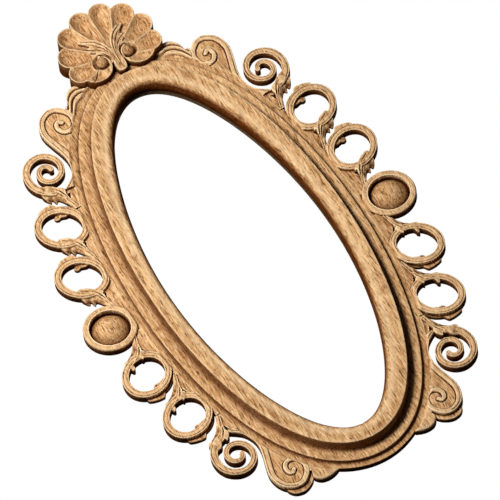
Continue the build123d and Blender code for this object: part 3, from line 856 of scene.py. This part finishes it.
def dome_data():
    """Dome in its seat, with painted shade growing towards its foot."""
    seat_level = lambda points: np.full(len(points), 5.02)
    points, faces, shade_and_highlight = relief_data(dome_form, ((-25, -25), (25, 25)), back=seat_level, weights=(0.5, 0.0))
    foot = smooth(13, DOME_RADIUS, np.hypot(points[:, 0], points[:, 1]))
    return points + (*CABOCHON_CENTRE, 0), faces, shade_and_highlight + 0.08 + 0.42 * foot


FOOT_LOBE = [
    (-1.14, 0.69), (-0.97, -0.54), (-0.69, -0.83), (-0.06, -1), (0.57, -0.89),
    (0.97, -0.46), (1.09, 0.11), (0.97, 0.8), (0.8, 1.6),
]


def foot_form(points):
    inside = within(points, curve(17.3 * np.array(FOOT_LOBE) * (1, -1)))
    return inside, 10.6 - arris(inside, 3.0)


CREST_LEAF = [
    (-0.95, 0.3), (-0.68, 0.68), (-0.30, 0.95), (0.15, 0.97), (0.50, 0.74), (0.74, 0.32), (0.85, -0.02),
    (1.05, -0.1), (1, -0.5), (0.86, -0.91), (0.82, -1.36), (0.45, -1.6), (-0.68, -0.91),
]
CREST_LEAF_VEINS = [
    [(21, -7), (13, 8), (1, 15), (-13, 12)],
    [(20, -15), (11, 1), (-1, 8), (-16, 5)],
    [(19, -24), (9, -7), (-3, 0), (-17, -3)],
]


def crest_leaf_form(points):
    inside = within(points, curve(22.0 * np.array(CREST_LEAF), closed=True, per=6))
    height = 12.2 - arris(inside, 1.6)
    for line in CREST_LEAF_VEINS:
        distance = nearest(points, curve(line))[0]
        height += ridge(distance - 2.8, 1.4, 0.9) - groove(distance, 1.7, 1.8)
    return inside, height


# Crest
SHELL_EDGE = [
    (0, 0.890), (0.206, 0.994), (0.345, 0.806), (0.576, 0.782), (0.612, 0.528), (0.776, 0.412),
    (0.697, 0.145), (0.782, -0.024), (0.582, -0.206), (0.339, -0.321), (0.103, -0.097),
]
LOBES = [SHELL_EDGE[i : i + 3] for i in range(0, len(SHELL_EDGE) - 2, 2)]
SHELL = 82.5


def arc(a, b, c, count=12):
    """Points on the circle through three points."""
    a, b, c = (np.array(p, float) for p in (a, b, c))
    centre = np.linalg.solve(2 * np.array([b - a, c - a]), [b @ b - a @ a, c @ c - a @ a])
    turn = [math.atan2(*(p - centre)[::-1]) for p in (a, b, c)]
    total = (turn[2] - turn[0]) % (2 * math.pi)
    if (turn[1] - turn[0]) % (2 * math.pi) > total:
        total -= 2 * math.pi
    radius = np.linalg.norm(a - centre)
    angles = turn[0] + total * np.linspace(0, 1, count)
    return centre + radius * np.stack([np.cos(angles), np.sin(angles)], 1)


def shell_outline():
    right = np.vstack([arc(*lobe)[:-1] for lobe in LOBES] + [SHELL_EDGE[-1:]]) * SHELL
    left = right[::-1] * (-1, 1)
    return np.vstack([right, left[:-1]])


NOTCHES = [math.degrees(math.atan2(*lobe[0])) for lobe in LOBES] + [140.0]
SHELL_FACE = 24.0
PEARL_PLACE = 18.5
PEARL_RADIUS = 7.7
SHELL_LIP = [
    (49, -20), (44, -24.5), (36, -27.2), (27.5, -28.2), (19.5, -26), (13, -20), (9.8, -11),
    (9.6, -2), (12.5, 5.5), (18, 9.5),
]
# Short cuts of the knife: line, half width, depth
CUTS = [
    ([(-29, 31), (-20, 26)], 1, 3),
    ([(-24, 19), (-20, 16), (-14, 15.5), (-10, 13)], 1.1, 3.2),
    ([(-16, 9), (-12, 7)], 1, 2.5),
    ([(20, 26), (25, 30)], 1, 2.8),
    ([(15, 15), (19, 16), (23, 19)], 1, 2.8),
    ([(-41, -23), (-31, -12), (-22, -3)], 0.7, 1.5),
]


def shell_form(points):
    """Fluted shell: a hollow in each lobe, a cup round each pearl and a lip below."""
    inside = within(points, shell_outline())
    x = np.abs(points[:, 0])
    y = points[:, 1]
    folded = np.stack([x, y], 1)
    r = np.hypot(x, y)
    angle = np.degrees(np.arctan2(x, y))
    height = np.full(len(points), SHELL_FACE)
    for first, last in zip(NOTCHES[:-1], NOTCHES[1:]):
        share = np.clip((angle - first) / (last - first), 0, 1) * 2 - 1
        here = (angle >= first) & (angle <= last)
        width = np.radians(last - first) * r
        depth = np.minimum(0.30 * width, 8.0) * smooth(8, 40, r)
        flute = depth * (1 - share**2) ** 0.9
        flute *= 1 - (1 - np.clip((inside - 0.8) / 11.0, 0, 1)) ** 2
        height = np.where(here, height - flute, height)
    height += 1.4 * smooth(58, 80, r) - arris(inside, 1.0)
    cup = np.hypot(x - PEARL_PLACE, y)
    height = height - 8.5 * np.clip(1 - (cup / 12.5) ** 2, 0, 1) ** 0.7
    lip = nearest(folded, curve(SHELL_LIP))[0]
    height = np.maximum(height, 23.0 - 0.55 * lip**2 * (lip < 4) - 50 * (lip >= 4))
    return inside, cut_lines(height, points, CUTS) + 0.12 * waver(points, 14, 31)


CREST_HUSK = [
    (0, -25), (5.5, -23), (7.4, -15), (6.2, -5), (7.4, 3), (11.5, 10), (15, 13.5),
    (19.5, 15), (17.2, 19), (20.5, 23.5), (26, 27), (21.5, 29), (25, 34), (31.5, 42.5),
    (20.5, 40), (11.5, 34), (5.6, 25.5), (2.4, 17), (0, 10),
]
CREST_HUSK_SPOTS = [
    (0, -22, 24), (0, -8, 27), (2, 6, 27.6), (6, 18, 27.2), (13, 30, 25.8), (22, 38, 24),
    (30, 42, 22), (22, 27, 22.6), (16, 18, 23.4), (10, 8, 25.4), (18, 32, 25),
]
CREST_HUSK_VEINS = [
    ([(1, -16), (2.5, 4), (6, 18), (14, 31), (27, 41)], 1, 1.5),
    ([(2.6, -12), (4.8, 5), (10, 18), (18, 29), (24, 33)], 0.9, 1.3),
    ([(4.4, -8), (7, 6), (12, 15), (18, 21.5)], 0.8, 1.1),
]


def crest_husk_form(points):
    right = np.array(CREST_HUSK)
    left = right[-2:0:-1] * (-1, 1)
    inside = within(points, curve(np.vstack([right, left]), closed=True, per=3))
    folded = np.stack([np.abs(points[:, 0]), points[:, 1]], 1)
    height = lifted(folded, CREST_HUSK_SPOTS) - arris(inside, 1.4)
    return inside, cut_lines(height, folded, CREST_HUSK_VEINS)


def ball(centre, radius, rows=24, columns=40):
    turns = [2 * math.pi * j / columns for j in range(columns)]
    vertices = [(0, 0, 1)]
    for i in range(1, rows):
        a = math.pi * i / rows
        vertices += [(math.sin(a) * math.cos(b), math.sin(a) * math.sin(b), math.cos(a)) for b in turns]
    vertices.append((0, 0, -1))
    faces = [(0, 1 + j, 1 + (j + 1) % columns) for j in range(columns)]
    for i in range(rows - 2):
        a = 1 + i * columns
        for j in range(columns):
            k = (j + 1) % columns
            faces.append((a + j, a + columns + j, a + columns + k, a + k))
    last = len(vertices) - 1
    a = 1 + (rows - 2) * columns
    faces += [(last, a + (j + 1) % columns, a + j) for j in range(columns)]
    return np.array(centre) + radius * np.array(vertices), faces


# Building the wood
def build_moulding():
    data = moulding_data()
    carved("moulding_right", data, WOOD)
    carved("moulding_left", data, WOOD, side=-1)
    carved("retaining_slip", slip_data(), SLIP)


def shifted(form, centre):
    return lambda points: form(points - centre)


def moved(form, centre):
    """A form that is drawn about its own centre, kept off the moulding."""

    def placed(points):
        inside, height = form(points - centre)
        out = outside_moulding(points)
        height = height + (OUTER_LEVEL - height) * (1 - smooth(0, 4.5, out))
        return np.minimum(inside, out - 0.02), height

    return placed


def apart(form, others):
    """A form without what others take: each other is (form, box), read in its box alone."""

    def placed(points):
        inside, height = form(points)
        for other, ((u0, v0), (u1, v1)) in others:
            u, v = points.T
            near = (u > u0) & (u < u1) & (v > v0) & (v < v1)
            if near.any():
                taken = other(points[near])[0]
                inside[near] = np.minimum(inside[near], -taken - 0.04)
        return inside, height

    return placed


def around(centre, left, right, down, up):
    return (centre[0] - left, centre[1] - down), (centre[0] + right, centre[1] + up)


RIM_BOX = around(CABOCHON_CENTRE, 64, 36, 36, 36)
RING_BOXES = [around(c, 50, 38, 72, 42) for c in RING_CENTRES]
VOLUTE_BOX = around(VOLUTE_CENTRE, 58, 36, 66, 36)
SCROLL_BOX = around(SCROLL_CENTRE, 45, 52, 112, 40)
LEAF_CENTRE = edge_point(73.3, MOULDING + 2.6)
LEAF_BOX = around(LEAF_CENTRE, 26, 26, 40, 20)
FOOT_CENTRE = edge_point(71.3, MOULDING)
FOOT_BOX = around(FOOT_CENTRE, 24, 24, 34, 22)
SHELL_BOX = around(HUB, 68, 68, 30, 86)
CREST_HUSK_BOX = around(HUB, 34, 34, 28, 46)


def half_data(cabochon, husk_shape, curl_level, shift):
    """Two rings and a volute, each kept off the last, and what a scroll has to keep off."""
    rings = [moved(ring_form(husk_shape, curl_level), centre + shift) for centre in RING_CENTRES]
    volute = moved(volute_form(husk_shape), VOLUTE_CENTRE + 2 * np.array(shift))
    forms = list(zip([cabochon, *rings, volute], [RIM_BOX, *RING_BOXES, VOLUTE_BOX]))
    data = [relief_data(apart(form, [last]), box) for last, (form, box) in zip(forms, forms[1:])]
    return data, forms[2:]


def build_ornaments():
    cabochon = moved(cabochon_form, CABOCHON_CENTRE)
    upper, above = half_data(cabochon, HUSK, 10.6, (0.6, 0.4))
    lower, below = half_data(cabochon, LOW_HUSK, 6.2, (0.0, 0.0))
    crest_leaf = moved(crest_leaf_form, LEAF_CENTRE)
    scroll = moved(scroll_form, SCROLL_CENTRE + (1.3, 1.0))
    foot_scroll = moved(lambda points: scroll_form(points, True), SCROLL_CENTRE + (1.0, -0.5))
    lobe = apart(moved(foot_form, FOOT_CENTRE), [(foot_scroll, SCROLL_BOX)])
    scroll = apart(scroll, [*above, (crest_leaf, LEAF_BOX)])
    foot_scroll = apart(foot_scroll, below)
    crest_leaf = apart(crest_leaf, [(shifted(shell_form, HUB), SHELL_BOX)])
    pieces = [
        ("cabochon_rim", 1, relief_data(cabochon, RIM_BOX, weights=(0.5, 0.07))),
        ("cabochon_dome", 1, dome_data()),
        *zip(("ring_2", "ring_1", "upper_volute"), (1, 1, 1), upper),
        *zip(("ring_3", "ring_4", "lower_volute"), (-1, -1, -1), lower),
        ("upper_scroll", 1, relief_data(scroll, SCROLL_BOX)),
        ("lower_scroll", -1, relief_data(foot_scroll, SCROLL_BOX)),
        ("crest_leaf", 1, relief_data(crest_leaf, LEAF_BOX)),
        ("foot_lobe", -1, relief_data(lobe, FOOT_BOX)),
    ]
    for name, side in (("right", 1), ("left", -1)):
        for part, end, data in pieces:
            carved(f"{part}_{name}", data, WOOD, side, end)


# The moulding's height by the distance from the sight edge
MOULDING_LEVELS = [
    (-60, 0), (-0.01, 0), (0, 20), (6, 26.3), (23.8, 27.5), (24, 15), (25, 12.6), (34, 13.1), (41.2, 13.4),
    (41.4, 8.8), (49.5, 8.6), (49.6, 0), (200, 0),
]


def moulding_top(points):
    """Height of the moulding under a point, for pieces that sit over it."""
    line = np.array([edge_point(a, 0) for a in np.linspace(60, 120, 241)])
    w = -nearest(points, line)[1]
    return np.interp(w, *zip(*MOULDING_LEVELS)) + 0.03


def build_crest():
    husk = shifted(crest_husk_form, HUB)
    shell = apart(shifted(shell_form, HUB), [(husk, CREST_HUSK_BOX)])
    husk_back = lambda points: np.maximum(moulding_top(points), 8.0)
    carved("crest_shell", relief_data(shell, SHELL_BOX, back=moulding_top, weights=(0.7, 0.01)), WOOD)
    carved("crest_husk", relief_data(husk, CREST_HUSK_BOX, GRID * 0.8, husk_back), WOOD)
    pearls = merged(ball((side * PEARL_PLACE, HUB[1], 20.0), PEARL_RADIUS) for side in (-1, 1))
    carved("crest_pearls", (*pearls, [0.25] * len(pearls[0])), WOOD)


# Hardware
def bevelled(node, width):
    """Copy of a hardware node with its edges broken."""
    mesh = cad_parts[node].data.copy()
    work = bmesh.new()
    work.from_mesh(mesh)
    bmesh.ops.remove_doubles(work, verts=work.verts, dist=1e-6)
    bmesh.ops.dissolve_limit(work, angle_limit=math.radians(1), verts=work.verts, edges=work.edges)
    sharp = [e for e in work.edges if len(e.link_faces) == 2 and e.calc_face_angle(0) > math.radians(40)]
    bevel = {"offset": width, "segments": 2, "profile": 0.5, "affect": "EDGES", "clamp_overlap": True}
    bmesh.ops.bevel(work, geom=sharp, **bevel)
    bmesh.ops.triangulate(work, faces=[f for f in work.faces if len(f.verts) > 4])
    work.to_mesh(mesh)
    work.free()
    mesh.shade_smooth()
    mesh.set_sharp_from_angle(angle=math.radians(35))
    mesh.materials.clear()
    mesh.materials.append(BRASS)
    return new_object(node + "_fine", mesh)


SHANK_SIDES = 24
BUTTON_SCREW = {"radius": 3.4, "rise": 1.8, "level": 2.2, "shank": 1.75, "depth": 11.0}
HANGER_SCREW = {"radius": 3.0, "rise": 0.9, "level": 1.4, "shank": 1.6, "depth": 12.0}


def screw_data(place, turn, radius, rise, level, shank, depth):
    """Slotted round head that stands behind the board, with its shank."""

    def form(points):
        r = np.hypot(points[:, 0], points[:, 1])
        slot = np.abs(points[:, 0] * math.cos(turn) + points[:, 1] * math.sin(turn))
        height = rise - 0.45 * rise * (r / radius) ** 2 - arris(radius - r, 0.3)
        return radius - r, height - np.where(slot < 0.42, 0.55 * rise, 0)

    reach = radius + 0.5
    vertices, faces, _ = relief_data(form, ((-reach, -reach), (reach, reach)), 0.14)
    vertices = vertices * (1, 1, -1) - (0, 0, level)
    faces = [list(reversed(face)) for face in faces]
    turns = np.linspace(0, 2 * math.pi, SHANK_SIDES, endpoint=False)
    rings = ((shank, -level + 0.01), (shank, depth - 1.5), (0.3 * shank, depth))
    points = [(r * math.cos(t), r * math.sin(t), z) for r, z in rings for t in turns]
    start = len(vertices)
    for low in (start, start + SHANK_SIDES):
        high = low + SHANK_SIDES
        for j in range(SHANK_SIDES):
            k = (j + 1) % SHANK_SIDES
            faces.append((low + j, low + k, high + k, high + j))
    faces.append([start + j for j in reversed(range(SHANK_SIDES))])
    faces.append([start + 2 * SHANK_SIDES + j for j in range(SHANK_SIDES)])
    return np.vstack([vertices, points]) + (*place, 0), faces


def build_bevelled(node, body, width):
    obj = bevelled(node, width)
    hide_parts(node)
    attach(obj, body)


def painted(node, material):
    """Node of the frame that stays as it is, with its material."""
    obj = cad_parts[node]
    obj.data.materials.clear()
    obj.data.materials.append(material)
    return obj


def build_hardware():
    for i in range(1, 7):
        build_bevelled(f"turn_button_{i}", f"turn_button_{i}", 0.0003)
    for side in ("left", "right"):
        build_bevelled(f"hanger_plate_{side}", "frame_body", 0.00025)
        painted(f"hanger_ring_{side}", BRASS).data.shade_smooth()
    buttons = [edge_point(a, 16.5) for a in (0, 62, 118, 180, 242, 298)]
    screws = merged(screw_data(p, 0.4 + 0.9 * i, **BUTTON_SCREW) for i, p in enumerate(buttons))
    carved("turn_button_screws", screws, BRASS)
    u, v = edge_point(28.6, 29.0)
    plates = [(sign * u, v - below) for sign in (1, -1) for below in (5.9, 19.9)]
    screws = merged(screw_data(p, 0.9 + 1.1 * i, **HANGER_SCREW) for i, p in enumerate(plates))
    carved("hanger_screws", screws, BRASS)


def finish_nodes():
    for node, material, slot in (
        ("joint_splines", PLAIN, "plain_wood"),
        ("ornament_dowels", PLAIN, "plain_wood"),
        ("glazing_pane", GLASS, "clear_glass"),
    ):
        painted(node, material)


# Light, background and camera
def lamp(name, way, distance, size, energy):
    """Round soft lamp that shines on the frame's centre."""
    data = bpy.data.lights.new(name, "AREA")
    data.shape = "DISK"
    data.size = size
    data.energy = energy
    obj = new_object(name, data)
    way = Vector(way).normalized()
    obj.location = way * distance
    obj.rotation_euler = way.to_track_quat("Z", "Y").to_euler()


def build_light():
    lamp("key", (-0.46, -0.86, 0.18), distance=2.0, size=0.85, energy=49.0)
    lamp("wall_side", (0.5, 0.8, 0.45), distance=2.0, size=0.8, energy=26.0)


def build_world():
    """White all round the frame, with a weak warm fill as its light."""
    net = Net(bpy.data.worlds.new("white"))
    fill = net.node("ShaderNodeBackground", {"Color": (1, 0.97, 0.93, 1), "Strength": 0.045}).outputs[0]
    white = net.node("ShaderNodeBackground", {"Color": (1, 1, 1, 1), "Strength": 1.0}).outputs[0]
    bpy.context.scene.world = net.finish(net.either(fill, white), "ShaderNodeOutputWorld")


FLOOR_LEVEL = -20
FLOOR_HALF = 45.0


def build_floor():
    """Pale floor, far enough down for a camera that looks up at the frame."""
    net = Net(bpy.data.materials.new("pale_floor"))
    cloud = net.noise(net.place(), (0.6, 0.6, 0.6), detail=3.0)
    colour = net.ramp(cloud, [(0.3, (0.80, 0.79, 0.77)), (0.7, (0.86, 0.85, 0.84))])
    matt = net.node("ShaderNodeBsdfDiffuse", {"Color": colour, "Roughness": 0.6}).outputs[0]
    white = net.node("ShaderNodeEmission", {"Color": (1, 1, 1, 1), "Strength": 1.0}).outputs[0]
    corners = [(x * FLOOR_HALF, y * FLOOR_HALF, FLOOR_LEVEL) for x, y in ((-1, -1), (1, -1), (1, 1), (-1, 1))]
    mesh = bpy.data.meshes.new("floor")
    mesh.from_pydata(corners, [], [(0, 1, 2, 3)])
    mesh.materials.append(net.finish(net.either(matt, white)))
    floor = new_object("floor", mesh)


LENS = 1700.0
SENSOR = 36.0
VIEW_WIDTH = 0.625  # metres that the view takes in at the frame


def build_camera():
    right = Vector((0.8788, 0.0807, -0.4703))
    up = Vector((0.4267, -0.5741, 0.6989))
    back = right.cross(up).normalized()
    up = back.cross(right).normalized()
    data = bpy.data.cameras.new("camera")
    data.lens = LENS
    data.sensor_width = SENSOR
    data.clip_start = 1.0
    data.clip_end = 60.0
    distance = LENS / SENSOR * VIEW_WIDTH
    camera = new_object("camera", data)
    aim = -0.00053 * right + 0.01896 * up
    rotation = Matrix((right, up, back)).transposed().to_4x4()
    camera.matrix_world = Matrix.Translation(aim + back * distance) @ rotation
    bpy.context.scene.camera = camera


build_moulding()
build_ornaments()
build_crest()
build_hardware()
finish_nodes()
build_light()
build_world()
build_floor()
build_camera()
bpy.context.scene.view_settings.view_transform = "Standard"
